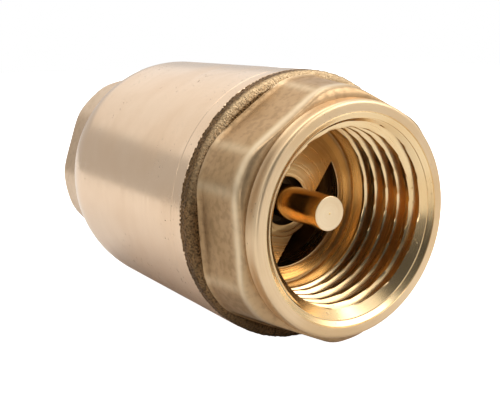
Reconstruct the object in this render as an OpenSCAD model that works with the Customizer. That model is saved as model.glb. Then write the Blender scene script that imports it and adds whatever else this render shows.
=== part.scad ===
// Spring check valve with a female pipe thread at each end.
// A turned body and a screwed-in hexagon cap enclose a poppet that a spring holds on its seat.
// Millimetres. The flow runs along Y: inlet at +Y, outlet mouth at -Y. Z is up.
// The origin is the centre of the outlet mouth.

/* [Pipe ends] */
// Inside radius of both pipe threads, across the crests
thread_r = 9.32; // [9.2:0.01:9.4]
// Radius of the countersink at each mouth
countersink_r = 11; // [10.8:0.1:11.2]
// Depth of the countersink at each mouth
countersink_depth = 1.5; // [1.3:0.05:1.7]
// Y where the outlet thread ends in its relief
outlet_thread_end = 9.8; // [9.4:0.1:10.2]
// Radius of the smooth bore behind the outlet thread
relief_r = 9.67; // [9.5:0.01:9.8]

/* [End cap] */
// Radius of the round lip at the mouth
lip_r = 12.2; // [12:0.05:12.3]
// Y where the lip ends and the hexagon begins
lip_end = 1.75; // [1.5:0.05:2]
// Distance across the hexagon's flats
cap_flats = 26.2; // [25.8:0.1:26.4]
// Radius its corners are turned to
cap_corner_r = 14; // [13.9:0.05:14.2]
// Angle of the first flat, from +X towards +Z, in degrees
cap_hex_angle = 4.7; // [0:0.1:59]
// Y where the hexagon meets the collar
cap_hex_end = 8.3; // [8:0.1:8.5]
// Radius of the collar
collar_r = 14.7; // [14.6:0.02:14.74]
// Y of the collar's rear edge
collar_end = 9.85; // [9.6:0.05:10]
// Y of the seam between cap and body
seam_y = 11.69; // [11.4:0.01:12]
// Y of the cap's inner end
shank_end = 17.8; // [17.6:0.1:18]
// Radius of the cavity in the cap's inner end
cap_cavity_r = 10.4; // [10.2:0.1:10.6]

/* [Stem guide] */
// Y of the web's front face
web_front = 12.2; // [12:0.1:12.3]
// Thickness of the web
web_thickness = 2.4; // [2.2:0.1:2.6]
// Half the width of the bar between the two windows
bar_half_width = 3.16; // [3:0.02:3.3]
// Radius of the hub in the middle of the bar
hub_r = 4.06; // [4:0.02:4.2]
// Outer radius of the windows
window_r = 7.64; // [7.4:0.02:7.8]
// Angle of the first window's middle, from +X towards +Z, in degrees
window_angle = -34.4; // [-60:0.1:0]
// Radius of the counterbore around the stem
counterbore_r = 2.78; // [2.6:0.02:2.9]
// Depth of that counterbore
counterbore_depth = 2.2; // [2:0.1:2.2]
// Radius of the spigot that centres the spring
spigot_r = 2.8; // [2.7:0.02:2.84]
// Length of the spigot behind the web
spigot_length = 3.6; // [3.4:0.1:3.8]
// Radial gap between the stem and its guide
guide_gap = 0.06; // [0.04:0.01:0.1]

/* [Body] */
// Radius of the body
body_r = 14.76; // [14.76:0.02:15]
// Y where the rear shoulder begins to curve in
shoulder_start = 35.8; // [35.6:0.1:36]
// Radius of the shoulder's curve
shoulder_curve_r = 10.4; // [10.2:0.1:10.6]
// Angle the curve runs through, in degrees
shoulder_sweep = 25.8; // [25:0.1:26]
// Overall length
length = 46.5; // [46:0.1:47]
// Distance across the flats of the inlet neck
neck_flats = 25; // [24.8:0.1:25.2]
// Radius the neck's corners are rounded to
neck_corner_r = 13; // [12.9:0.05:13.1]
// Angle of the neck's first flat, from +X towards +Z, in degrees
neck_hex_angle = 42; // [30:0.5:60]
// Radius of the bore the cap screws into
cap_thread_r = 13; // [12.95:0.01:13.05]
// Radius of the chamber around the disc
chamber_r = 11.9; // [11.8:0.05:12]
// Y of the chamber's floor
chamber_end = 29.9; // [29.7:0.1:30.2]
// Radius of the seat's bore
seat_r = 7; // [6.8:0.1:7.2]
// Width of the seat's flat lip
seat_width = 0.8; // [0.6:0.1:0.9]
// Y where the seat's bore opens towards the inlet thread
seat_bore_end = 34.5; // [34:0.1:34.8]
// Y where the inlet thread begins
inlet_thread_start = 36; // [35.8:0.1:36.4]

/* [Poppet] */
// Y of the stem's free end with the valve closed
stem_tip = 4.25; // [4.2:0.05:4.5]
// Radius of the stem
stem_r = 1.9; // [1.85:0.01:1.92]
// Travel of the poppet from its seat to the guide
lift = 4.2; // [3.8:0.1:4.2]
// Y of the disc's front face, where the spring bears
disc_front = 25.1; // [25:0.1:25.2]
// Radius of the disc
disc_r = 9.6; // [9.4:0.1:9.8]
// Thickness of the disc at its rim
disc_thickness = 3; // [2.8:0.1:3]
// Depth of the recess that holds the seal
recess_depth = 1.2; // [1.1:0.05:1.3]
// Thickness of the rubber seal
seal_thickness = 1.8; // [1.7:0.05:1.8]
// Radius of the washer that clamps the seal
retainer_r = 5.9; // [5.6:0.1:6]
// Thickness of that washer
retainer_thickness = 1; // [0.8:0.1:1.2]
// Radius of the stem's threaded tail
tail_r = 1.5; // [1.45:0.01:1.5]
// Distance across the flats of the nut
nut_flats = 5.5; // [5:0.1:5.5]
// Thickness of the nut
nut_thickness = 2.4; // [1.8:0.1:2.4]

/* [Spring] */
// Radius of the wire
wire_r = 0.25; // [0.22:0.01:0.26]
// Mean radius of the coils
coil_r = 3.4; // [3.36:0.01:3.44]
// Number of coils, the closed ends included
coils = 7.5; // [6.5:0.5:8]

/* [Hidden] */
web_back = web_front + web_thickness;
spigot_end = web_back + spigot_length;
collar_front = spigot_end + lift;
recess_floor = disc_front + disc_thickness - recess_depth;
seat_y = recess_floor + seal_thickness;
retainer_back = seat_y + retainer_thickness;
nut_back = retainer_back + nut_thickness;
recess_r = disc_r - 0.65;
boss_r = 2.95;
shoulder_end = shoulder_start + shoulder_curve_r * sin(shoulder_sweep);
shoulder_edge_r = body_r - shoulder_curve_r * (1 - cos(shoulder_sweep));
gasket_end = shank_end + 1;
// The hexagons' ends are rounded by a ball through two circles: the end face's and the corners'
cap_front_r = lip_r + 0.4;
cap_front_ball_y = lip_end + 0.9 + (cap_corner_r ^ 2 - cap_front_r ^ 2) / 3.6;
cap_front_ball_r = sqrt(cap_front_r ^ 2 + (cap_front_ball_y - lip_end) ^ 2);
neck_end_r = neck_flats / 2 - 0.1;
neck_end_ball_y = length - 0.3 - (neck_corner_r ^ 2 - neck_end_r ^ 2) / 1.2;
neck_end_ball_r = sqrt(neck_end_r ^ 2 + (length - neck_end_ball_y) ^ 2);
nut_ball_r = 1.25 * nut_flats;
$fn = 96;

// Turns a shape drawn along Z so that it lies along Y
module along_y() { rotate([-90, 0, 0]) children(); }

// A solid of revolution about Y, from points of radius and Y
module turned(points) { along_y() rotate_extrude() polygon(points); }

// A round bore or bar along Y
module round_y(r, from, to) {
    along_y() translate([0, 0, from]) cylinder(r = r, h = to - from);
}

// A bore that widens from one radius to another along Y
module cone_y(r1, r2, from, to) {
    along_y() translate([0, 0, from]) cylinder(r1 = r1, r2 = r2, h = to - from);
}

// A ball on the axis, whose round face chamfers the end of a hexagon
module ball_y(r, at) { translate([0, at, 0]) sphere(r = r, $fn = 192); }

// A hexagonal bar along Y with one flat facing the given angle
module hexagon_y(flats, angle, from, to) {
    rotate([0, -angle, 0]) along_y() translate([0, 0, from]) rotate(30)
        cylinder(r = flats / 2 / cos(30), h = to - from, $fn = 6);
}

// One crescent window through the web, on the side the angle points to
module window(angle) {
    rotate([0, -angle, 0]) difference() {
        intersection() {
            round_y(window_r, web_front - 1, web_back + 1);
            translate([bar_half_width, web_front - 1, -window_r])
                cube([window_r, web_thickness + 2, 2 * window_r]);
        }
        round_y(hub_r, web_front - 2, web_back + 2);
    }
}

// Forged housing half: round and turned outside, with the seat, the disc's chamber and the inlet
module body() {
    color("#d8b48c") difference() {
        union() {
            turned(concat(
                [[0, seam_y], [body_r, seam_y], [body_r, shoulder_start]],
                [for (i = [1 : 8]) let (a = shoulder_sweep * i / 8)
                    [body_r - shoulder_curve_r * (1 - cos(a)), shoulder_start + shoulder_curve_r * sin(a)]],
                [[neck_corner_r, shoulder_end + 0.3], [0, shoulder_end + 0.3]]));
            intersection() {
                round_y(neck_corner_r, shoulder_end - 1, length);
                hexagon_y(neck_flats, neck_hex_angle, shoulder_end - 2, length + 1);
                ball_y(neck_end_ball_r, neck_end_ball_y);
            }
        }
        round_y(cap_thread_r, seam_y - 1, gasket_end);
        difference() {
            round_y(chamber_r, gasket_end - 1, chamber_end);
            cone_y(seat_r + seat_width, seat_r + 1.8, seat_y, chamber_end + 0.01);
        }
        round_y(seat_r, seat_y - 1, seat_bore_end + 0.1);
        cone_y(seat_r, thread_r, seat_bore_end, inlet_thread_start);
        round_y(thread_r, inlet_thread_start, length + 1);
        cone_y(thread_r, countersink_r, length - countersink_depth, length);
    }
}

// Forged cap: lip, hexagon, rough collar, turned land, screwed shank and the web that guides the stem
module end_cap() {
    color("#b89a6c") difference() {
        union() {
            turned([[0, 0], [lip_r - 0.35, 0], [lip_r - 0.1, 0.1], [lip_r, 0.35], [lip_r, lip_end - 0.6],
                    [lip_r + 0.08, lip_end - 0.2], [lip_r + 0.2, lip_end], [lip_r + 0.2, cap_hex_end],
                    [cap_corner_r, cap_hex_end], [cap_corner_r + 0.4, cap_hex_end + 0.15],
                    [collar_r, cap_hex_end + 0.5], [collar_r, collar_end], [body_r, collar_end],
                    [body_r, seam_y], [cap_thread_r - 0.6, seam_y], [cap_thread_r - 0.6, seam_y + 0.8],
                    [cap_thread_r - 0.03, seam_y + 1.4], [cap_thread_r - 0.03, shank_end - 0.4],
                    [cap_thread_r - 0.43, shank_end], [0, shank_end]]);
            intersection() {
                round_y(cap_corner_r, lip_end, cap_hex_end + 0.1);
                hexagon_y(cap_flats, cap_hex_angle, lip_end - 1, cap_hex_end + 1);
                ball_y(cap_front_ball_r, cap_front_ball_y);
            }
        }
        cone_y(countersink_r, thread_r, 0, countersink_depth);
        round_y(thread_r, -1, outlet_thread_end + 0.1);
        round_y(relief_r, outlet_thread_end, web_front);
        difference() {
            turned([[0, web_back], [cap_cavity_r - 1.2, web_back], [cap_cavity_r, web_back + 1.2],
                    [cap_cavity_r, shank_end + 1], [0, shank_end + 1]]);
            turned([[0, web_back - 1], [spigot_r, web_back - 1], [spigot_r, spigot_end - 0.3],
                    [spigot_r - 0.3, spigot_end], [0, spigot_end]]);
        }
        window(window_angle);
        window(window_angle + 180);
        round_y(counterbore_r, web_front - 1, web_front + counterbore_depth);
        round_y(stem_r + guide_gap, web_front, shank_end + 5);
    }
}

// Flat ring of hard plastic that the cap's shank clamps against the body's inner shoulder
module cap_seal_ring() {
    color("#e8e4d8") difference() {
        round_y(cap_thread_r - 0.1, shank_end, gasket_end);
        round_y(chamber_r + 0.05, shank_end - 1, gasket_end + 1);
    }
}

// Turned brass rod: it slides in the hub, its collar stops the lift, its tail carries the disc
module stem() {
    color("#b8843c") difference() {
        turned([[0, stem_tip], [stem_r - 0.15, stem_tip], [stem_r, stem_tip + 0.15], [stem_r, collar_front],
                [spigot_r, collar_front], [spigot_r, disc_front], [tail_r, disc_front],
                [tail_r, nut_back + 0.5], [tail_r - 0.4, nut_back + 0.9], [0, nut_back + 0.9]]);
        cone_y(0.35, 0, stem_tip, stem_tip + 0.3);
    }
}

// Turned brass disc with a recess at the back for the seal and a boss in the middle of it
module disc() {
    color("#c9a25e") difference() {
        turned([[0, disc_front], [disc_r - 0.4, disc_front], [disc_r, disc_front + 0.4],
                [disc_r, disc_front + disc_thickness - 0.2], [disc_r - 0.2, disc_front + disc_thickness],
                [recess_r, disc_front + disc_thickness], [recess_r, recess_floor],
                [boss_r, recess_floor], [boss_r, seat_y], [0, seat_y]]);
        round_y(tail_r + 0.05, disc_front - 1, seat_y + 1);
    }
}

// Flat rubber ring in the disc's recess: it meets the seat
module disc_seal() {
    color("#2b2b2b") difference() {
        round_y(recess_r - 0.05, recess_floor, seat_y);
        round_y(boss_r + 0.05, recess_floor - 1, seat_y + 1);
    }
}

// Brass washer that holds the rubber ring in its recess
module seal_retainer() {
    color("#c9a25e") difference() {
        turned([[0, seat_y], [retainer_r, seat_y], [retainer_r, retainer_back - 0.3],
                [retainer_r - 0.3, retainer_back], [0, retainer_back]]);
        round_y(tail_r + 0.05, seat_y - 1, retainer_back + 1);
    }
}

// Small hexagon nut on the stem's tail
module retainer_nut() {
    color("#c9a25e") difference() {
        intersection() {
            hexagon_y(nut_flats, 10, retainer_back, nut_back);
            ball_y(nut_ball_r, nut_back - sqrt(nut_ball_r * nut_ball_r - nut_flats * nut_flats / 4));
        }
        round_y(tail_r + 0.02, retainer_back - 1, nut_back + 1);
    }
}

// Stainless compression spring with closed ends, between the hub and the disc
module spring() {
    sides = 8;
    steps = 24 * coils;
    pitch_end = 2 * wire_r + 0.03;
    first = web_back + wire_r + 0.02;
    rise_all = disc_front - wire_r - 0.02 - first;
    pitch = (rise_all - 2 * pitch_end) / (coils - 2);
    function rise(t) = t < 1 ? t * pitch_end
        : t > coils - 1 ? rise_all - (coils - t) * pitch_end
        : pitch_end + (t - 1) * pitch;
    ring = [for (i = [0 : steps], j = [0 : sides - 1])
        let (t = i / 24, a = 360 * t, b = 360 * j / sides, r = coil_r + wire_r * cos(b))
        [r * cos(a), first + rise(t) + wire_r * sin(b), r * sin(a)]];
    sheets = [for (i = [0 : steps - 1], j = [0 : sides - 1])
        let (k = (j + 1) % sides) [i * sides + j, i * sides + k, (i + 1) * sides + k, (i + 1) * sides + j]];
    ends = [[for (j = [sides - 1 : -1 : 0]) j], [for (j = [0 : sides - 1]) steps * sides + j]];
    color("#c8ccd0") polyhedron(ring, concat(sheets, ends), convexity = 10);
}

body();
end_cap();
cap_seal_ring();
stem();
disc();
disc_seal();
seal_retainer();
retainer_nut();
spring();
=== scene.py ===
import math
import bpy
import bmesh
import numpy as np
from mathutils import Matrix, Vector


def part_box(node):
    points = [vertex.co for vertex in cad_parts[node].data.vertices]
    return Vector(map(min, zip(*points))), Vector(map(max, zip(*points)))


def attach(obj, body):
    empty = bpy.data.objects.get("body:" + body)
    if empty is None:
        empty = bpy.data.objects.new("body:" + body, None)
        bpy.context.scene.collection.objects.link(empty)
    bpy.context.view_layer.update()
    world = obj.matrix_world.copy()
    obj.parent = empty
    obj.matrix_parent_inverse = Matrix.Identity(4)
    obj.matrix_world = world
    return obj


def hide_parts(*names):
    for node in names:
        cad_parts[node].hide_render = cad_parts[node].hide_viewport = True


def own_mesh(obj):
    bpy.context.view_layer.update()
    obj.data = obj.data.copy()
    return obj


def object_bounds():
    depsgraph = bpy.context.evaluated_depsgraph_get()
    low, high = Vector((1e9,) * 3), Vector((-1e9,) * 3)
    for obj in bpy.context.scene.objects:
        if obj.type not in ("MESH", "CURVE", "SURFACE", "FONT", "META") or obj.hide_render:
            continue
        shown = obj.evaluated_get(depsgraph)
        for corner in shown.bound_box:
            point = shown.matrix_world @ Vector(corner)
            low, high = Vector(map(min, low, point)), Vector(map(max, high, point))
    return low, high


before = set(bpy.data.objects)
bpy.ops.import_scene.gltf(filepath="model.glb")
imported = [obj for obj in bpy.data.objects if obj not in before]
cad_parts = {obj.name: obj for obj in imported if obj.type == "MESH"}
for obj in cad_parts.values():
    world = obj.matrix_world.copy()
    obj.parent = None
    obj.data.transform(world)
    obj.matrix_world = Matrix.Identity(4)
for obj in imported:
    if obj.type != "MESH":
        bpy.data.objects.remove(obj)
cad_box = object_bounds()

# --- Camera -----------------------------------------------------------------------------------
# A long lens low in front of the outlet, to its left: it looks into the mouth and along the body.
mouth = Vector((0, 0, 0))
camera_data = bpy.data.cameras.new("camera")
camera_data.lens, camera_data.sensor_width = 59.2, 36
camera = bpy.data.objects.new("camera", camera_data)
bpy.context.collection.objects.link(camera)
camera.location = mouth + Vector((-0.05325, -0.06111, 0.01869))
look = Vector((0.5406, 0.8169, -0.2011))
camera.rotation_euler = look.to_track_quat("-Z", "Y").to_euler()
camera_data.clip_start = 0.005
bpy.context.scene.camera = camera

# --- Floor, walls and light -------------------------------------------------------------------
# A white paper table with a near edge on the left, in a pale studio. The room in front is dark, and a
# soft box stands there to the right; the polished brass shows all of it.
scene = bpy.context.scene
scene.view_settings.view_transform = "Standard"
floor_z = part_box("body")[0].z
table_left, table_front, table_reach = -0.085, -0.078, 0.6


def new_material(name):
    """An empty node material, its tree and its one shader."""
    material = bpy.data.materials.new(name)
    material.use_nodes = True
    return material, material.node_tree, material.node_tree.nodes["Principled BSDF"]


floor_mesh = bpy.data.meshes.new("table_top")
floor_mesh.from_pydata([(table_left, table_front, floor_z), (table_reach, table_front, floor_z),
                        (table_reach, table_reach, floor_z), (table_left, table_reach, floor_z)],
                       [], [(0, 1, 2, 3)])
floor = bpy.data.objects.new("table_top", floor_mesh)
bpy.context.collection.objects.link(floor)
paper, paper_tree, paper_shader = new_material("white_paper")
paper_shader.inputs["Base Color"].default_value = (0.8, 0.8, 0.8, 1)
paper_shader.inputs["Roughness"].default_value = 0.95
paper_shader.inputs["Emission Color"].default_value = (1, 1, 1, 1)
paper_ray = paper_tree.nodes.new("ShaderNodeLightPath")
paper_glow = paper_tree.nodes.new("ShaderNodeMath")
paper_glow.operation = "MULTIPLY"
paper_glow.inputs[1].default_value = 1
paper_tree.links.new(paper_ray.outputs["Is Camera Ray"], paper_glow.inputs[0])
paper_tree.links.new(paper_glow.outputs[0], paper_shader.inputs["Emission Strength"])
floor_mesh.materials.append(paper)


def maths(tree, operation, *values):
    """One Math node; each value is a number or another node's output."""
    node = tree.nodes.new("ShaderNodeMath")
    node.operation = operation
    for socket, value in zip(node.inputs, values):
        if isinstance(value, (int, float)):
            socket.default_value = value
        else:
            tree.links.new(value, socket)
    return node.outputs[0]


def fade(tree, value, low, high, start=0.0, stop=1.0):
    """A smooth change from start to stop while the value goes from low to high."""
    node = tree.nodes.new("ShaderNodeMapRange")
    node.interpolation_type = "SMOOTHSTEP"
    tree.links.new(value, node.inputs["Value"])
    for socket, number in zip(("From Min", "From Max", "To Min", "To Max"), (low, high, start, stop)):
        node.inputs[socket].default_value = number
    return node.outputs["Result"]


world = bpy.data.worlds.new("studio")
scene.world = world
world.use_nodes = True
sky = world.node_tree
sky.nodes.clear()
toward = sky.nodes.new("ShaderNodeSeparateXYZ")
sky.links.new(sky.nodes.new("ShaderNodeTexCoord").outputs["Generated"], toward.inputs[0])
to_right, to_back, upward = toward.outputs
band_top, band_clear, dark_floor = 0.235, 0.30, 0.1
wall_low = fade(sky, to_right, -0.3, 0.2, 0.62, 0.76)
wall = maths(sky, "ADD", fade(sky, upward, band_top, band_clear, 0.0, 0.42), wall_low)
lit = maths(sky, "MAXIMUM", fade(sky, to_right, 0.02, 0.16), fade(sky, to_back, -0.3, 0.0))
lit = maths(sky, "MAXIMUM", lit, fade(sky, upward, 0.82, 0.95))
room = sky.nodes.new("ShaderNodeBackground")
shade = maths(sky, "MULTIPLY_ADD", lit, 1 - dark_floor, dark_floor)
sky.links.new(maths(sky, "MULTIPLY", wall, shade), room.inputs["Strength"])
backdrop = sky.nodes.new("ShaderNodeBackground")
backdrop.inputs["Color"].default_value = (1, 1, 1, 1)
ray = sky.nodes.new("ShaderNodeLightPath")
shown = sky.nodes.new("ShaderNodeMixShader")
sky.links.new(ray.outputs["Is Camera Ray"], shown.inputs[0])
sky.links.new(room.outputs[0], shown.inputs[1])
sky.links.new(backdrop.outputs[0], shown.inputs[2])
sky.links.new(shown.outputs[0], sky.nodes.new("ShaderNodeOutputWorld").inputs["Surface"])


def soft_box(name, place, aim, width, height, power):
    """A rectangular studio light at place, turned towards aim."""
    data = bpy.data.lights.new(name, "AREA")
    data.shape, data.size, data.size_y, data.energy = "RECTANGLE", width, height, power
    light = bpy.data.objects.new(name, data)
    bpy.context.collection.objects.link(light)
    light.location = place
    light.rotation_euler = (Vector(aim) - Vector(place)).to_track_quat("-Z", "Y").to_euler()
    return light


middle = (0, 0.02, 0)
soft_box("top_light", (0.0, 0.1, 0.5), middle, 0.45, 0.45, 0.9)
soft_box("front_light", (0.27, -0.3, 0.27), middle, 0.36, 0.3, 0.9)
soft_box("left_light", (-0.40, -0.25, 0.02), middle, 0.13, 0.3, 0.25)

# --- Body -------------------------------------------------------------------------------------
# The long half of the housing: a brass forging, turned all over outside as far as the crisp edge
# of the curved rear shoulder. The hexagonal inlet neck behind it keeps its dull forged skin.
MM = 0.001
body_r, seam_y = 14.76, 11.69
shoulder_from, shoulder_curve, shoulder_sweep = 35.8, 10.4, math.radians(25.8)
neck_half, neck_corner, neck_turn, end_y = 12.5, 13.0, math.radians(42), 46.5
thread_crest, thread_root, thread_pitch = 9.32, 10.48, 1.814
mouth_r, mouth_step_r, mouth_step, mouth_depth = 11.0, 10.4, 0.4, 1.5
chamber_r, chamber_floor, seat_r, seat_y = 11.9, 29.9, 7.0, 28.7
segments = 400
theta = np.linspace(0, 2 * math.pi, segments, endpoint=False)


def soft_min(a, b, k):
    """The lesser of two lengths, rounded where they cross over a width k."""
    h = np.clip(0.5 + 0.5 * (b - a) / k, 0, 1)
    return b * (1 - h) + a * h - k * h * (1 - h)


def hexagon(angle, half, corner, turn, k):
    """Radius of a hexagonal bar with turned corners, its edges blunted over a width k."""
    off = (angle - turn + math.pi / 6) % (math.pi / 3) - math.pi / 6
    return soft_min(half / np.cos(off), corner, k)


def spaced(a, b, step):
    """Values from a to b, about step apart, both ends included."""
    return np.linspace(a, b, max(2, int(abs(b - a) / step) + 1))


def arc(cx, cy, radius, start, stop, count):
    """Points of radius and Y on a rounded edge, angles in degrees from outwards towards +Y."""
    return [(cx + radius * math.cos(math.radians(a)), cy + radius * math.sin(math.radians(a)))
            for a in np.linspace(start, stop, count)]


def mouth_wall(depth):
    """Radius of a pipe mouth's countersink and bore at a depth: two cones, then the crests."""
    if depth < mouth_step:
        return mouth_r - (mouth_r - mouth_step_r) * depth / mouth_step
    slope = (mouth_step_r - thread_crest) / (mouth_depth - mouth_step)
    return max(thread_crest, mouth_step_r - slope * (depth - mouth_step))


def skin(name, rows, around=segments, closed=True):
    """A turned skin of rings about Y. Each row is a radius and a Y in millimetres, and may hold a
    value for each segment. The last row joins the first, or each end closes in a flat disc."""
    angle = np.linspace(0, 2 * math.pi, around, endpoint=False)
    radius = np.array([np.broadcast_to(r, around) for r, y in rows])
    along = np.array([np.broadcast_to(y, around) for r, y in rows])
    points = np.stack([radius * np.cos(angle), along, radius * np.sin(angle)], -1).reshape(-1, 3)
    count = len(rows)
    first = np.arange(count if closed else count - 1)[:, None] * around
    second = (first + around) % (count * around)
    here = np.arange(around)[None]
    beside = (here + 1) % around
    faces = np.stack([first + here, first + beside, second + beside, second + here], -1)
    points, faces = points.tolist(), faces.reshape(-1, 4).tolist()
    if not closed:
        for ring in (0, (count - 1) * around):
            points.append((0, points[ring][1], 0))
            faces += [(len(points) - 1, ring + i, ring + (i + 1) % around) for i in range(around)]
    mesh = bpy.data.meshes.new(name)
    mesh.from_pydata((np.array(points) * MM).tolist(), [], faces)
    return placed(name, mesh)


def placed(name, mesh):
    """An object for a closed mesh, its doubles merged and its faces turned outwards."""
    work = bmesh.new()
    work.from_mesh(mesh)
    bmesh.ops.remove_doubles(work, verts=work.verts, dist=1e-7)
    bmesh.ops.recalc_face_normals(work, faces=work.faces)
    work.to_mesh(mesh)
    work.free()
    obj = bpy.data.objects.new(name, mesh)
    bpy.context.collection.objects.link(obj)
    return obj


def joined(name, parts):
    """One object of several closed meshes that are one piece of metal."""
    work = bmesh.new()
    for part in parts:
        work.from_mesh(part.data)
        bpy.data.objects.remove(part)
    mesh = bpy.data.meshes.new(name)
    work.to_mesh(mesh)
    work.free()
    obj = bpy.data.objects.new(name, mesh)
    bpy.context.collection.objects.link(obj)
    return obj


def polar(coordinates):
    """Radius, angle and Y, in millimetres and radians, of a flat list of coordinates."""
    x, y, z = (coordinates.reshape(-1, 3) / MM).T
    return np.hypot(x, z), np.arctan2(z, x), y


def mark(obj, name, rule):
    """Stores a value from 0 to 1 on each point, worked out from its radius, angle and Y."""
    co = np.empty(len(obj.data.vertices) * 3)
    obj.data.vertices.foreach_get("co", co)
    r, a, y = polar(co)
    layer = obj.data.attributes.new(name, "FLOAT", "POINT")
    layer.data.foreach_set("value", np.broadcast_to(rule(r, a, y), r.shape).astype(float))


def finish_with(obj, materials, rule=None, crease=50):
    """Gives each face the material that rule picks by radius, angle and Y, and smooth shading."""
    obj.data.materials.clear()
    for material in materials:
        obj.data.materials.append(material)
    if rule:
        centre = np.empty(len(obj.data.polygons) * 3)
        obj.data.polygons.foreach_get("center", centre)
        obj.data.polygons.foreach_set("material_index", rule(*polar(centre)).astype(int))
    obj.data.shade_smooth()
    obj.data.set_sharp_from_angle(angle=math.radians(crease))


def tree_of(name, sockets):
    """A geometry node tree with a geometry in and out and the named inputs."""
    tree = bpy.data.node_groups.new(name, "GeometryNodeTree")
    tree.interface.new_socket("Geometry", in_out="INPUT", socket_type="NodeSocketGeometry")
    for label, kind in sockets:
        tree.interface.new_socket(label, in_out="INPUT", socket_type="NodeSocket" + kind)
    tree.interface.new_socket("Geometry", in_out="OUTPUT", socket_type="NodeSocketGeometry")
    return tree, tree.nodes.new("NodeGroupInput"), tree.nodes.new("NodeGroupOutput")


def coat(tree, geometry, tree_in, tree_out):
    """Ends a tree: real geometry, in the material that its input names."""
    real = tree.nodes.new("GeometryNodeRealizeInstances")
    coated = tree.nodes.new("GeometryNodeSetMaterial")
    tree.links.new(geometry, real.inputs[0])
    tree.links.new(real.outputs[0], coated.inputs["Geometry"])
    tree.links.new(tree_in.outputs["Material"], coated.inputs["Material"])
    tree.links.new(coated.outputs[0], tree_out.inputs[0])


def stored(tree, name):
    """The value that mark() left on each point."""
    node = tree.nodes.new("GeometryNodeInputNamedAttribute")
    node.data_type = "FLOAT"
    node.inputs["Name"].default_value = name
    return node.outputs["Attribute"]


def grow(obj, tree, values):
    """Runs a geometry node tree on an object with these input values and keeps the plain mesh."""
    modifier = obj.modifiers.new(tree.name, "NODES")
    modifier.node_group = tree
    for item in tree.interface.items_tree:
        if item.item_type == "SOCKET" and item.in_out == "INPUT" and item.name in values:
            modifier[item.identifier] = values[item.name]
    ready = obj.evaluated_get(bpy.context.evaluated_depsgraph_get())
    plain = bpy.data.meshes.new_from_object(ready)
    obj.modifiers.clear()
    obj.data = plain


# A tap's cut: every point of a bore near the crest radius moves out to the thread's form, which
# turns with the angle. The countersink stays where it is the wider of the two.
tap, tap_in, tap_out = tree_of("pipe_tap", [
    ("Crest", "Float"), ("Root", "Float"), ("Pitch", "Float"), ("Start", "Float"), ("From", "Float"),
    ("To", "Float"), ("Material", "Material")])
spot = tap.nodes.new("ShaderNodeSeparateXYZ")
tap.links.new(tap.nodes.new("GeometryNodeInputPosition").outputs[0], spot.inputs[0])
px, py, pz = spot.outputs
radius = maths(tap, "SQRT", maths(tap, "ADD", maths(tap, "MULTIPLY", px, px), maths(tap, "MULTIPLY", pz, pz)))
turn = maths(tap, "DIVIDE", maths(tap, "ARCTAN2", pz, px), 2 * math.pi)
turns = maths(tap, "ADD", maths(tap, "DIVIDE", py, tap_in.outputs["Pitch"]), turn)
turns = maths(tap, "ADD", turns, tap_in.outputs["Start"])
wave = maths(tap, "ABSOLUTE", maths(tap, "SUBTRACT", maths(tap, "FRACT", turns), 0.5))
height = maths(tap, "SUBTRACT", tap_in.outputs["Root"], tap_in.outputs["Crest"])
flank_slope, crest_share = 3.5, 0.52
flank = maths(tap, "MULTIPLY", maths(tap, "MULTIPLY_ADD", wave, flank_slope, -crest_share), height)
crest_blunt, root_blunt, run_out = 0.00012, 0.0003, 0.0008
flank = maths(tap, "SMOOTH_MAX", flank, 0.0, crest_blunt)
flank = maths(tap, "SMOOTH_MIN", flank, height, root_blunt)
inside = maths(tap, "MINIMUM",
               maths(tap, "DIVIDE", maths(tap, "SUBTRACT", py, tap_in.outputs["From"]), run_out),
               maths(tap, "DIVIDE", maths(tap, "SUBTRACT", tap_in.outputs["To"], py), run_out))
inside = maths(tap, "MINIMUM", maths(tap, "MAXIMUM", inside, 0.0), 1.0)
cut = maths(tap, "ADD", tap_in.outputs["Crest"], maths(tap, "MULTIPLY", flank, inside))
grown = maths(tap, "DIVIDE", maths(tap, "MAXIMUM", radius, cut), radius)
cut_to = tap.nodes.new("ShaderNodeCombineXYZ")
tap.links.new(maths(tap, "MULTIPLY", px, grown), cut_to.inputs[0])
tap.links.new(py, cut_to.inputs[1])
tap.links.new(maths(tap, "MULTIPLY", pz, grown), cut_to.inputs[2])
shift = tap.nodes.new("GeometryNodeSetPosition")
tap.links.new(tap_in.outputs["Geometry"], shift.inputs["Geometry"])
tap.links.new(maths(tap, "MULTIPLY", maths(tap, "GREATER_THAN", inside, 0.0), stored(tap, "bore")),
              shift.inputs["Selection"])
tap.links.new(cut_to.outputs[0], shift.inputs["Position"])
coat(tap, shift.outputs[0], tap_in, tap_out)


def tap_mouth(obj, low, high, start, material):
    """Marks the wall between two Y values as the bore, and cuts the pipe thread in it."""
    mark(obj, "bore", lambda r, a, y: (y > low) & (y < high) & (r < mouth_r + 0.01))
    grow(obj, tap, {"Crest": thread_crest * MM, "Root": thread_root * MM, "Pitch": thread_pitch * MM,
                    "Start": start, "From": low * MM, "To": high * MM, "Material": material})
    obj.data.attributes.remove(obj.data.attributes["bore"])


def noise(tree, vector, scale, detail=2.0):
    """A noise pattern from 0 to 1 over a vector."""
    node = tree.nodes.new("ShaderNodeTexNoise")
    tree.links.new(vector, node.inputs["Vector"])
    node.inputs["Scale"].default_value = scale
    node.inputs["Detail"].default_value = detail
    return node.outputs["Fac"]


def blend(tree, factor, a, b):
    """A colour between a and b; each is three numbers or another node's output."""
    node = tree.nodes.new("ShaderNodeMix")
    node.data_type = "RGBA"
    tree.links.new(factor, node.inputs["Factor"])
    for socket, colour in zip((node.inputs["A"], node.inputs["B"]), (a, b)):
        if isinstance(colour, tuple):
            socket.default_value = (*colour, 1)
        else:
            tree.links.new(colour, socket)
    return node.outputs["Result"]


def object_point(tree):
    """The point on the piece, in metres."""
    return tree.nodes.new("ShaderNodeTexCoord").outputs["Object"]


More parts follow.
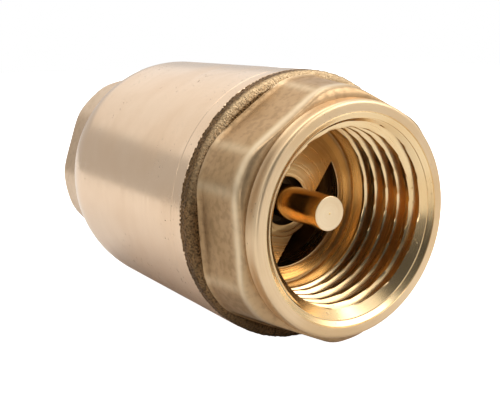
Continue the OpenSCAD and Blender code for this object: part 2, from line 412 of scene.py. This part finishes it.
def lathe_point(tree, fine, long):
    """A point that runs fast across a tool's marks and slowly round them, without a seam."""
    parts = tree.nodes.new("ShaderNodeSeparateXYZ")
    tree.links.new(object_point(tree), parts.inputs[0])
    x, y, z = parts.outputs
    r = maths(tree, "SQRT", maths(tree, "ADD", maths(tree, "MULTIPLY", x, x), maths(tree, "MULTIPLY", z, z)))
    r = maths(tree, "MAXIMUM", r, 1e-6)
    point = tree.nodes.new("ShaderNodeCombineXYZ")
    tree.links.new(maths(tree, "MULTIPLY", maths(tree, "ADD", y, r), fine), point.inputs[0])
    tree.links.new(maths(tree, "MULTIPLY", maths(tree, "DIVIDE", x, r), long), point.inputs[1])
    tree.links.new(maths(tree, "MULTIPLY", maths(tree, "DIVIDE", z, r), long), point.inputs[2])
    return point.outputs[0]


def relief(tree, shader, layers):
    """Bumps of the layers, each a pattern and its height in metres, one on top of the other."""
    below = None
    for height, distance in layers:
        node = tree.nodes.new("ShaderNodeBump")
        node.inputs["Distance"].default_value = distance
        tree.links.new(height, node.inputs["Height"])
        if below:
            tree.links.new(below, node.inputs["Normal"])
        below = node.outputs[0]
    tree.links.new(below, shader.inputs["Normal"])


def cut_brass(name, light, warm, smooth, dull, mark_size, mark_depth, pits=0.0, ring_tint=0.3):
    """Brass cut on a lathe: fine rings, soft clouds of warmer colour, a few pits and stains."""
    material, tree, shader = new_material(name)
    shader.inputs["Metallic"].default_value = 1
    rings = noise(tree, lathe_point(tree, 1 / mark_size, 0.22), 1.0, 2.0)
    clouds = noise(tree, object_point(tree), 140, 3.0)
    specks = fade(tree, noise(tree, object_point(tree), 2600, 1.0), 0.66, 0.76)
    patches = fade(tree, noise(tree, object_point(tree), 170, 2.0), 0.48, 0.68)
    specks = maths(tree, "MULTIPLY", maths(tree, "MULTIPLY", specks, patches), pits)
    colour = blend(tree, fade(tree, clouds, 0.35, 0.68), light, warm)
    colour = blend(tree, fade(tree, rings, 0.3, 0.75, 0.0, ring_tint), colour, warm)
    colour = blend(tree, specks, colour, tuple(0.35 * c for c in warm))
    tree.links.new(colour, shader.inputs["Base Color"])
    shine = maths(tree, "ADD", fade(tree, rings, 0.3, 0.7, smooth, dull),
                  fade(tree, clouds, 0.4, 0.7, 0.0, 0.06))
    tree.links.new(maths(tree, "MULTIPLY_ADD", specks, 0.3, shine), shader.inputs["Roughness"])
    relief(tree, shader, [(rings, mark_depth), (maths(tree, "SUBTRACT", 1.0, specks), 0.00002)])
    return material


def forged_brass(name, light, dark, wear_and_highlight_tone, smooth, dull, grain, grain_depth, fleck=0.5):
    """The skin of a hot forging: mottled, a little scaly, bright with wear along its edges, and with a
    painted highlight where the stored value carries one.
    """
    material, tree, shader = new_material(name)
    shader.inputs["Metallic"].default_value = 1
    clouds = noise(tree, object_point(tree), 230, 4.0)
    scale = noise(tree, object_point(tree), grain, 3.0)
    wear_and_highlight_mix = tree.nodes.new("ShaderNodeAttribute")
    wear_and_highlight_mix.attribute_name = "wear_and_highlight"
    wear_and_highlight_mix = maths(tree, "MULTIPLY", wear_and_highlight_mix.outputs["Fac"], fade(tree, clouds, 0.25, 0.5, 0.6, 1.0))
    colour = blend(tree, fade(tree, clouds, 0.32, 0.68), light, dark)
    colour = blend(tree, fade(tree, scale, 0.44, 0.66, 0.0, fleck), colour, tuple(0.4 * c for c in dark))
    colour = blend(tree, wear_and_highlight_mix, colour, wear_and_highlight_tone)
    tree.links.new(colour, shader.inputs["Base Color"])
    shine = fade(tree, scale, 0.3, 0.7, smooth, dull)
    tree.links.new(maths(tree, "MULTIPLY_ADD", wear_and_highlight_mix, -0.12, shine), shader.inputs["Roughness"])
    relief(tree, shader, [(clouds, 0.00001), (scale, grain_depth)])
    return material


brass_turned = cut_brass("brass_turned", (0.96, 0.71, 0.49), (0.91, 0.65, 0.43), 0.14, 0.21,
                         0.00022, 0.0000025, pits=0.8)
brass_bore = cut_brass("brass_bore", (0.93, 0.70, 0.40), (0.87, 0.61, 0.31), 0.17, 0.27,
                       0.00016, 0.000008, pits=0.35)
brass_lip = cut_brass("brass_lip", (0.87, 0.645, 0.40), (0.78, 0.55, 0.31), 0.33, 0.44,
                      0.00016, 0.000008, pits=0.6)
brass_faced = cut_brass("brass_faced", (0.86, 0.58, 0.29), (0.58, 0.36, 0.15), 0.22, 0.36,
                        0.00028, 0.00004, pits=0.3, ring_tint=0.65)
# Brass darkened to near black for the hub's bore and the spigot behind the web: painted shade, not the
# metal's colour.
hub_bore_painted_shade = cut_brass("hub_bore_painted_shade", (0.16, 0.10, 0.05), (0.08, 0.05, 0.025), 0.35, 0.5,
                          0.0002, 0.00003)
neck_skin = forged_brass("neck_skin", (0.74, 0.53, 0.345), (0.69, 0.49, 0.31), (0.86, 0.66, 0.46),
                         0.32, 0.42, 1400, 0.00001, fleck=0.15)

neck = hexagon(theta, neck_half, neck_corner, neck_turn, 0.4)
shoulder_to = shoulder_from + shoulder_curve * math.sin(shoulder_sweep)
edge_r = body_r - shoulder_curve * (1 - math.cos(shoulder_sweep))
rows = [(body_r - 0.05, seam_y), (body_r - 0.015, seam_y + 0.015), (body_r, seam_y + 0.05)]
rows += [(body_r, seam_y + d) for d in (0.09, 0.16, 0.3)]
rows += [(body_r, y) for y in spaced(seam_y + 0.8, shoulder_from - 0.5, 1.5)]
rows += [(body_r - shoulder_curve * (1 - math.cos(a)), shoulder_from + shoulder_curve * math.sin(a))
         for a in np.linspace(0, shoulder_sweep, 12)]
rows += [(edge_r - 0.04, shoulder_to + 0.05), (edge_r - 0.12, shoulder_to + 0.08)]
rows += [(neck * (1 - t) + (edge_r - 0.12) * t, shoulder_to + 0.08 + 0.5 * (1 - t) ** 2)
         for t in (0.75, 0.5, 0.25, 0.0)]
rows += [(neck, y) for y in spaced(shoulder_to + 0.9, end_y - 0.9, 0.35)]
rows += [(neck - 0.6 * (1 - math.cos(a)), end_y - 0.6 + 0.6 * math.sin(a))
         for a in np.linspace(0, math.pi / 2, 6)]
rows += [(mouth_r + 0.1, end_y), (mouth_r, end_y - 0.02)]
rows += [(mouth_wall(end_y - y), y) for y in spaced(end_y - 0.06, 36, 0.065)]
rows += [(thread_crest, 35.95), (8.8, 35.6), (7.4, 34.7), (seat_r, 34.4), (seat_r, 31.5),
         (seat_r, seat_y + 0.12),
         (seat_r + 0.04, seat_y + 0.03), (seat_r + 0.12, seat_y), (seat_r + 0.7, seat_y),
         (seat_r + 0.82, seat_y + 0.05), (seat_r + 1.6, chamber_floor), (chamber_r - 0.5, chamber_floor),
         (chamber_r - 0.1, chamber_floor - 0.1), (chamber_r, chamber_floor - 0.5),
         (chamber_r, 24), (chamber_r, 18.8),
         (12.9, 18.8), (13.0, 18.7), (13.0, 12.1), (13.3, 11.75), (13.4, seam_y)]
body = skin("valve_body", rows)
tap_mouth(body, 36, end_y + 2, 0.0, brass_bore)
mark(body, "wear_and_highlight", lambda r, a, y: np.where(
    y > end_y - 0.6, 0.7, np.clip((neck_corner - 0.1 - r) * -3, 0, 0.4)))
finish_with(body, [brass_turned, neck_skin, brass_bore, brass_faced], lambda r, a, y: np.select(
    [(r < mouth_r + 0.6) & (y > 34.4), (r < chamber_r + 0.01) & (y < 34.4), y > shoulder_to + 0.06],
    [2, 3, 1], 0))
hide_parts("body")
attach(body, "housing")

# --- End cap ----------------------------------------------------------------------------------
# The other half of the housing, screwed into the body: a forging with a hexagon and a rough collar,
# machined at the lip, in the tapped bore and on the land. The web across it guides the stem.
lip_r, lip_round, face_y = 12.2, 0.4, 1.62
cap_half, cap_corner, cap_turn, cap_hex_end = 13.2, 14.1, math.radians(4.7), 8.3
cap_draft, front_r, front_round, front_spread = 0.095, 12.32, 1.9, 1.02
collar_r, collar_round, collar_end = 14.76, 0.6, 9.85
relief_r, shank_r, shank_end, cavity_r = 9.67, 12.97, 17.8, 10.4
web_front, web_back, web_r, web_bevel = 12.2, 14.6, 9.3, 0.06
window_r, hub_r, bar_half, window_turn = 7.64, 4.06, 3.16, math.radians(-34.4)
counterbore_r, guide_r, spigot_r, spigot_end = 2.78, 1.96, 2.8, 18.17
outlet_start = 0.13



def cap_hex(y):
    """Radius of the hexagon at Y: the forging's draft narrows it towards the mouth."""
    thinner = cap_draft * (cap_hex_end - y)
    return hexagon(theta, cap_half - thinner, cap_corner - thinner, cap_turn, 0.5)


rows = [(9.2, 12.5), (9.2, 12.19), (9.35, 12.19), (9.55, 12.12), (9.64, 12.0), (relief_r, 11.85)]
rows += [(relief_r, y) for y in spaced(11.5, 9.95, 0.3)]
rows += [(mouth_wall(y), y) for y in spaced(9.8, mouth_step + 0.06, 0.085)]
rows += [(mouth_step_r, mouth_step + 0.05), (mouth_step_r + 0.03, mouth_step - 0.02)]
rows += [(mouth_wall(y), y) for y in (0.3, 0.2, 0.14, 0.08, 0.05)]
rows += [(mouth_r + 0.02, 0.07), (mouth_r + 0.05, 0.01), (mouth_r + 0.1, 0.0), (mouth_r + 0.3, 0.0)]
rows += arc(lip_r - lip_round, lip_round, lip_round, -90, 0, 8)
rows += [(lip_r, y) for y in (0.6, 0.85, 1.05)]
rows += [(lip_r + 0.02, 1.25), (lip_r + 0.05, 1.45), (lip_r + 0.1, 1.57), (front_r, face_y)]
for t in np.linspace(0.05, 1, 20):
    back = 0.02 + front_round * t ** 2
    rounded = front_r + math.sqrt(back * (2 * front_round - back)) * front_spread
    rows += [(soft_min(cap_hex(face_y + back), rounded, 0.45), face_y + back)]
rows += [(cap_hex(y), y) for y in spaced(face_y + front_round + 0.2, cap_hex_end - 0.5, 0.3)]
hex_back = cap_hex(cap_hex_end)
rows += [(hex_back + 0.05, cap_hex_end - 0.3), (hex_back + 0.16, cap_hex_end - 0.1)]
rows += [(hex_back * (1 - t) + (collar_r - collar_round) * t + 0.16 * (1 - t), cap_hex_end - 0.07 + 0.1 * t)
         for t in (0.15, 0.3, 0.5, 0.75, 1)]
rows += arc(collar_r - collar_round, cap_hex_end + 0.62, collar_round, -80, 0, 8)
rows += [(collar_r, y) for y in spaced(cap_hex_end + 0.7, collar_end + 0.35, 0.1)]
rows += [(body_r, collar_end + 0.45)] + [(body_r, seam_y - d) for d in (0.3, 0.16, 0.09, 0.05)]
rows += [(body_r - 0.015, seam_y - 0.015),
         (body_r - 0.05, seam_y), (12.5, seam_y), (12.4, seam_y + 0.1), (12.4, seam_y + 0.8),
         (shank_r, seam_y + 1.4), (shank_r, shank_end - 0.4), (shank_r - 0.4, shank_end),
         (cavity_r + 0.1, shank_end), (cavity_r, shank_end - 0.1), (cavity_r, 15.8), (9.2, web_back - 0.03)]
shell = skin("cap_shell", rows)
tap_mouth(shell, -0.1, 9.8, outlet_start, brass_bore)


def window_edge(turned):
    """The outline of one crescent window: an outer arc, the bar's edge and the hub's arc."""
    wide, narrow = math.acos(bar_half / window_r), math.acos(bar_half / hub_r)
    outline = [(window_r, a) for a in np.linspace(-wide, wide, 60)]
    outline += [(hub_r, a) for a in np.linspace(narrow, -narrow, 28)]
    return [(r * math.cos(a + turned), r * math.sin(a + turned)) for r, a in outline]


def plate(name, outlines, front, back, bevel):
    """A flat plate across Y with holes, its edges rounded by the bevel."""
    curve = bpy.data.curves.new(name, "CURVE")
    curve.dimensions, curve.fill_mode = "2D", "BOTH"
    curve.extrude, curve.bevel_depth, curve.bevel_resolution = (back - front) / 2 - bevel, bevel, 2
    curve.offset = -bevel
    for outline in outlines:
        spline = curve.splines.new("POLY")
        spline.points.add(len(outline) - 1)
        spline.points.foreach_set("co", [v for x, z in outline for v in (x, z, 0, 1)])
        spline.use_cyclic_u = True
    source = bpy.data.objects.new(name, curve)
    bpy.context.collection.objects.link(source)
    flat = bpy.data.meshes.new_from_object(source.evaluated_get(bpy.context.evaluated_depsgraph_get()))
    bpy.data.objects.remove(source)
    for vertex in flat.vertices:
        x, z, depth = vertex.co
        vertex.co = Vector((x, (front + back) / 2 + depth, z)) * MM
    return placed(name, flat)


def ring_of(r, count=200):
    """The corners of a circle about the axis."""
    return [(r * math.cos(a), r * math.sin(a)) for a in np.linspace(0, 2 * math.pi, count, endpoint=False)]


web = plate("cap_web", [ring_of(web_r), ring_of(counterbore_r, 120), window_edge(window_turn),
                        window_edge(window_turn + math.pi)], web_front, web_back, web_bevel)
spigot = skin("cap_spigot", [
    (guide_r, 14.45), (guide_r + 0.05, 14.4), (2.9, 14.4), (2.9, 14.55), (spigot_r, 14.65), (spigot_r, 17.9),
    (2.75, 18.1), (2.5, spigot_end), (guide_r + 0.1, spigot_end), (guide_r, 18.1)], 128)
cap = joined("end_cap_forging", [shell, web, spigot])
hex_skin = forged_brass("hex_skin", (0.53, 0.345, 0.185), (0.47, 0.30, 0.15), (0.95, 0.76, 0.50),
                        0.4, 0.5, 1500, 0.00001, fleck=0.25)
rough_skin = forged_brass("rough_skin", (0.26, 0.145, 0.06), (0.14, 0.078, 0.03), (0.86, 0.62, 0.36),
                          0.4, 0.6, 4600, 0.0002, fleck=1.0)

# The collar's scale and the forging's slight waviness are in the metal itself.
scaled, scaled_in, scaled_out = tree_of("forging_scale", [
    ("Depth", "Float"), ("Grain", "Float"), ("Material", "Material")])
grains = noise(scaled, scaled.nodes.new("GeometryNodeInputPosition").outputs[0], 1.0, 2.0)
scaled.links.new(scaled_in.outputs["Grain"], grains.node.inputs["Scale"])
sink = maths(scaled, "MULTIPLY", maths(scaled, "SUBTRACT", grains, 0.68), scaled_in.outputs["Depth"])
sink = maths(scaled, "MULTIPLY", maths(scaled, "MINIMUM", sink, 0.0), stored(scaled, "rough"))
outward = scaled.nodes.new("ShaderNodeVectorMath")
outward.operation = "SCALE"
scaled.links.new(scaled.nodes.new("GeometryNodeInputNormal").outputs[0], outward.inputs[0])
scaled.links.new(sink, outward.inputs["Scale"])
lower = scaled.nodes.new("GeometryNodeSetPosition")
scaled.links.new(scaled_in.outputs["Geometry"], lower.inputs["Geometry"])
scaled.links.new(outward.outputs[0], lower.inputs["Offset"])
coat(scaled, lower.outputs[0], scaled_in, scaled_out)


def ragged(a):
    """The uneven line, in millimetres, where the turning tool left the collar's skin."""
    return 0.05 * np.sin(31 * a) * np.sin(7 * a + 1) + 0.04 * np.sin(83 * a + 2) + 0.03 * np.sin(197 * a)


def cap_wear_and_highlight(r, a, y):
    """How bright each point of the hexagon's and the collar's edges is with wear; on the collar's edge the
    value grows towards the top, which is a painted highlight.
    """
    flat_edge = math.radians(20.7)
    front = 0.75 * np.exp(-((y - 2.5) / 0.5) ** 2)
    off = (a - cap_turn + math.pi / 6) % (math.pi / 3) - math.pi / 6
    corner = np.exp(-((np.abs(off) - flat_edge) / 0.04) ** 2) * (y > 2.5) * (y < cap_hex_end)
    # Brighter towards the top: a painted highlight on the collar's front edge.
    top_highlight = np.clip(np.sin(a), 0.1, 1)
    collar = 0.9 * np.exp(-((y - cap_hex_end - 0.15) / 0.3) ** 2) * (r > collar_r - 0.9) * top_highlight
    return np.maximum(np.maximum(front, 0.35 * corner), collar) * (r > lip_r + 0.2)


mark(cap, "rough", lambda r, a, y: np.select(
    [(r > collar_r - 0.5) & (y > cap_hex_end) & (y < collar_end + ragged(a)),
     (r > lip_r + 0.5) & (y > 3.4) & (y < cap_hex_end + 0.1)], [1.0, 0.1], 0.0))
grow(cap, scaled, {"Depth": 0.25 * MM, "Grain": 2600.0, "Material": hex_skin})
# Wear on the hexagon's edges, and a painted highlight along the top of the collar's front edge.
mark(cap, "wear_and_highlight", cap_wear_and_highlight)
cap_finishes = [brass_bore, hex_skin, rough_skin, brass_turned, brass_faced, brass_lip, hub_bore_painted_shade]
# The hub's bore and the spigot behind the web (index 6) take the near-black brass, which is painted shade.
finish_with(cap, cap_finishes, lambda r, a, y: np.select(
    [(r > 13.2) & (y > collar_end + ragged(a)), (r > 13.4) & (y > cap_hex_end - 0.05) & (y < 10.3),
     (r > lip_r + 0.08) & (y > 1.3) & (y < cap_hex_end), (r > mouth_r + 0.05) & (y < 1.7),
     (y > web_front + 0.15) & (r < counterbore_r + 0.1), (y > 12.15) & (r < 9.7), y > seam_y],
    [3, 2, 1, 5, 6, 4, 4], 0), crease=32)
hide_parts("end_cap")
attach(cap, "housing")

# --- Seal ring --------------------------------------------------------------------------------
# A flat moulded ring of pale nylon, pinched between the cap's shank and the body's inner shoulder.
ring_inner, ring_outer, ring_front, ring_back = 11.95, 12.9, 17.8, 18.8
nylon, tree, shader = new_material("pale_nylon")
cloud = noise(tree, object_point(tree), 300, 3.0)
tree.links.new(blend(tree, cloud, (0.80, 0.77, 0.68), (0.70, 0.66, 0.56)), shader.inputs["Base Color"])
tree.links.new(fade(tree, cloud, 0.3, 0.7, 0.35, 0.5), shader.inputs["Roughness"])
relief(tree, shader, [(noise(tree, object_point(tree), 2500), 0.00002)])
seal_ring = skin("nylon_ring", arc(ring_outer - 0.1, ring_front + 0.1, 0.1, -90, 0, 4)
                 + arc(ring_outer - 0.1, ring_back - 0.1, 0.1, 0, 90, 4)
                 + [(ring_inner + 0.1, ring_back), (ring_inner, ring_back - 0.1),
                    (ring_inner, ring_front + 0.1), (ring_inner + 0.1, ring_front)], 200)
finish_with(seal_ring, [nylon])
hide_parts("cap_seal_ring")
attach(seal_ring, "housing")

# --- Stem -------------------------------------------------------------------------------------
# A drawn brass rod that slides in the hub: its end is faced off square, a wide collar stops its
# lift, and its rolled tail screws the disc, the rubber and the washer together.
stem_tip, stem_r, stem_chamfer = 4.25, 1.9, 0.12
lift_stop, disc_front, tail_r, tail_end = 22.4, 25.1, 1.5, 33.0
tail_pitch, tail_depth = 0.5, 0.28
brass_rod = cut_brass("brass_rod", (0.92, 0.66, 0.32), (0.82, 0.55, 0.23), 0.14, 0.22,
                      0.00035, 0.000005, pits=0.3)
brass_end = cut_brass("brass_end", (0.97, 0.77, 0.51), (0.88, 0.67, 0.42), 0.36, 0.5,
                      0.00030, 0.00002, pits=0.2)
rows = [(0.02, stem_tip + 0.04), (0.12, stem_tip + 0.01), (0.2, stem_tip)]
rows += [(r, stem_tip) for r in (0.8, 1.4)]
rows += arc(stem_r - stem_chamfer, stem_tip + stem_chamfer, stem_chamfer, -90, 0, 6)
rows += [(stem_r, y) for y in spaced(stem_tip + 0.5, lift_stop - 0.15, 1.0)]
rows += [(stem_r + 0.05, lift_stop - 0.04), (stem_r + 0.15, lift_stop), (spigot_r - 0.15, lift_stop),
         (spigot_r, lift_stop + 0.15), (spigot_r, disc_front), (tail_r - 0.15, disc_front)]
rows += [(tail_r - 0.15, y) for y in spaced(disc_front + 0.4, 30, 0.8)]
rows += [(tail_r - 0.01, y) for y in spaced(30.05, tail_end - 0.35, 0.05)]
rows += [(tail_r - 0.2, tail_end - 0.15), (tail_r - 0.5, tail_end), (0.3, tail_end)]
stem = skin("stem_rod", rows, 96, closed=False)


def roll_thread(r, a, y):
    """Share of the full radius left by the tail's rolled thread at each point."""
    groove = np.abs((y / tail_pitch + a / (2 * math.pi)) % 1 - 0.5) * 2
    rolled = (y > 30.04) & (y < tail_end - 0.3) & (r > 1)
    return np.where(rolled, 1 - tail_depth * groove / tail_r, 1.0)


def pressed(obj, rule):
    """Draws each point in towards the axis by the share that rule gives it."""
    co = np.empty(len(obj.data.vertices) * 3)
    obj.data.vertices.foreach_get("co", co)
    share = rule(*polar(co))
    co = co.reshape(-1, 3) * np.stack([share, np.ones_like(share), share], -1)
    obj.data.vertices.foreach_set("co", co.ravel())


pressed(stem, roll_thread)
finish_with(stem, [brass_rod, brass_end], lambda r, a, y: y < stem_tip + 0.02, crease=35)
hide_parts("stem")
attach(stem, "poppet")

# --- Disc, rubber and washer ------------------------------------------------------------------
# A turned disc with a recess at its back. A flat rubber ring lies in the recess and meets the seat;
# a washer clamps it.
disc_r, disc_back, recess_r, recess_floor, boss_r, bore_r = 9.6, 28.1, 8.95, 26.9, 2.95, 1.55
washer_r, washer_back = 5.9, 29.7
turned_disc = cut_brass("turned_disc", (0.62, 0.45, 0.23), (0.48, 0.33, 0.15), 0.24, 0.36,
                        0.00022, 0.00003, pits=0.3)
disc = skin("poppet_disc", [(bore_r, disc_front), (4.2, disc_front), (4.3, disc_front + 0.05),
                            (disc_r - 0.4, disc_front + 0.05)]
            + arc(disc_r - 0.35, disc_front + 0.4, 0.35, -90, 0, 6)
            + arc(disc_r - 0.2, disc_back - 0.2, 0.2, 0, 90, 5)
            + [(recess_r + 0.1, disc_back), (recess_r, disc_back - 0.1), (recess_r, recess_floor + 0.1),
               (recess_r - 0.1, recess_floor), (boss_r + 0.05, recess_floor), (boss_r, recess_floor + 0.05),
               (boss_r, seat_y), (bore_r, seat_y)], 200)
finish_with(disc, [turned_disc], crease=35)
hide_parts("disc")
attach(disc, "poppet")

nitrile, tree, shader = new_material("black_nitrile")
bloom = noise(tree, lathe_point(tree, 900, 3), 1.0, 3.0)
tree.links.new(blend(tree, bloom, (0.018, 0.018, 0.019), (0.04, 0.039, 0.038)), shader.inputs["Base Color"])
tree.links.new(fade(tree, bloom, 0.3, 0.7, 0.5, 0.72), shader.inputs["Roughness"])
relief(tree, shader, [(noise(tree, object_point(tree), 3000), 0.00002)])
rubber_r, rubber_bore = recess_r - 0.06, boss_r + 0.06
rubber = skin("seal_rubber_ring", [(rubber_bore, recess_floor + 0.1),
                                   (rubber_bore + 0.1, recess_floor + 0.01)]
              + arc(rubber_r - 0.15, recess_floor + 0.16, 0.15, -90, 0, 4)
              + arc(rubber_r - 0.3, seat_y - 0.3, 0.3, 0, 90, 6)
              + [(rubber_bore + 0.1, seat_y), (rubber_bore, seat_y - 0.1)], 200)
finish_with(rubber, [nitrile])
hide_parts("disc_seal")
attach(rubber, "poppet")

washer = skin("clamp_washer", [(bore_r, seat_y), (washer_r - 0.1, seat_y), (washer_r, seat_y + 0.1)]
              + arc(washer_r - 0.3, washer_back - 0.3, 0.3, 0, 90, 7)
              + [(bore_r + 0.1, washer_back), (bore_r, washer_back - 0.1)], 160)
finish_with(washer, [turned_disc], crease=35)
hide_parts("seal_retainer")
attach(washer, "poppet")

# --- Nut --------------------------------------------------------------------------------------
# A small brass hexagon nut, chamfered at both ends, screwed down on the stem's tail.
nut_half, nut_corner, nut_turn, nut_back = 2.75, 3.12, math.radians(10), 32.1
around_nut = np.linspace(0, 2 * math.pi, 192, endpoint=False)
nut_hex = hexagon(around_nut, nut_half, nut_corner, nut_turn, 0.06)
chamfer = [(np.minimum(nut_hex, nut_half - 0.1 + 0.4 * t), 0.25 * t ** 1.6) for t in np.linspace(0, 1.2, 8)]
rows = [(tail_r + 0.02, washer_back + 0.25), (tail_r + 0.25, washer_back)]
rows += [(r, washer_back + y) for r, y in chamfer] + [(r, nut_back - y) for r, y in chamfer[::-1]]
rows += [(tail_r + 0.25, nut_back), (tail_r + 0.02, nut_back - 0.25)]
nut = skin("tail_nut", rows, 192)
finish_with(nut, [turned_disc], crease=30)
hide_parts("retainer_nut")
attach(nut, "poppet")

# --- Spring -----------------------------------------------------------------------------------
# A coil of stainless wire round the spigot, its end turns closed. It stands on the web and pushes
# the disc onto its seat.
wire_r, coil_r, coil_turns, end_gap = 0.25, 3.4, 7.5, 0.53
wire, tree, shader = new_material("spring_wire")
shader.inputs["Metallic"].default_value = 1
drawn = noise(tree, object_point(tree), 900, 3.0)
tree.links.new(blend(tree, drawn, (0.62, 0.61, 0.60), (0.48, 0.46, 0.43)), shader.inputs["Base Color"])
tree.links.new(fade(tree, drawn, 0.3, 0.7, 0.2, 0.36), shader.inputs["Roughness"])
relief(tree, shader, [(drawn, 0.00002)])

coil, coil_in, coil_out = tree_of("wire_coil", [
    ("Wire Radius", "Float"), ("Coil Radius", "Float"), ("Turns", "Float"), ("From", "Float"),
    ("Rise", "Float"), ("End Gap", "Float"), ("Material", "Material")])
line = coil.nodes.new("GeometryNodeCurvePrimitiveLine")
points = coil.nodes.new("GeometryNodeResampleCurve")
points.inputs["Count"].default_value = 361
coil.links.new(line.outputs[0], points.inputs["Curve"])
along = coil.nodes.new("GeometryNodeSplineParameter").outputs["Factor"]
turns_in, gap = coil_in.outputs["Turns"], coil_in.outputs["End Gap"]
turned = maths(coil, "MULTIPLY", along, turns_in)
swept = maths(coil, "MULTIPLY", turned, 2 * math.pi)
open_turns = maths(coil, "SUBTRACT", turns_in, 2)
end_rise = maths(coil, "MULTIPLY", gap, 2)
open_rise = maths(coil, "SUBTRACT", coil_in.outputs["Rise"], end_rise)
open_gap = maths(coil, "DIVIDE", open_rise, open_turns)
first_turn = maths(coil, "MINIMUM", turned, 1)
last_turn = maths(coil, "MAXIMUM", maths(coil, "SUBTRACT", maths(coil, "SUBTRACT", turned, turns_in), -1), 0)
middle_turns = maths(coil, "SUBTRACT", maths(coil, "SUBTRACT", turned, first_turn), last_turn)
climb = maths(coil, "MULTIPLY", maths(coil, "ADD", first_turn, last_turn), gap)
climb = maths(coil, "ADD", climb, maths(coil, "MULTIPLY", middle_turns, open_gap))
helix = coil.nodes.new("ShaderNodeCombineXYZ")
wound_r = coil_in.outputs["Coil Radius"]
coil.links.new(maths(coil, "MULTIPLY", maths(coil, "COSINE", swept), wound_r), helix.inputs[0])
coil.links.new(maths(coil, "ADD", climb, coil_in.outputs["From"]), helix.inputs[1])
coil.links.new(maths(coil, "MULTIPLY", maths(coil, "SINE", swept), wound_r), helix.inputs[2])
wound = coil.nodes.new("GeometryNodeSetPosition")
coil.links.new(points.outputs[0], wound.inputs["Geometry"])
coil.links.new(helix.outputs[0], wound.inputs["Position"])
section = coil.nodes.new("GeometryNodeCurvePrimitiveCircle")
section.inputs["Resolution"].default_value = 14
coil.links.new(coil_in.outputs["Wire Radius"], section.inputs["Radius"])
tube = coil.nodes.new("GeometryNodeCurveToMesh")
tube.inputs["Fill Caps"].default_value = True
coil.links.new(wound.outputs[0], tube.inputs["Curve"])
coil.links.new(section.outputs[0], tube.inputs["Profile Curve"])
coat(coil, tube.outputs[0], coil_in, coil_out)

spring_from, spring_to = web_back + wire_r + 0.02, disc_front - wire_r - 0.02
spring = placed("coil_spring", bpy.data.meshes.new("coil_spring"))
grow(spring, coil, {"Wire Radius": wire_r * MM, "Coil Radius": coil_r * MM, "Turns": coil_turns,
                    "From": spring_from * MM, "Rise": (spring_to - spring_from) * MM,
                    "End Gap": end_gap * MM, "Material": wire})
finish_with(spring, [wire])
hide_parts("spring")
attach(spring, "housing")
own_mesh(spring)

cad_box = [list(v) for v in cad_box]
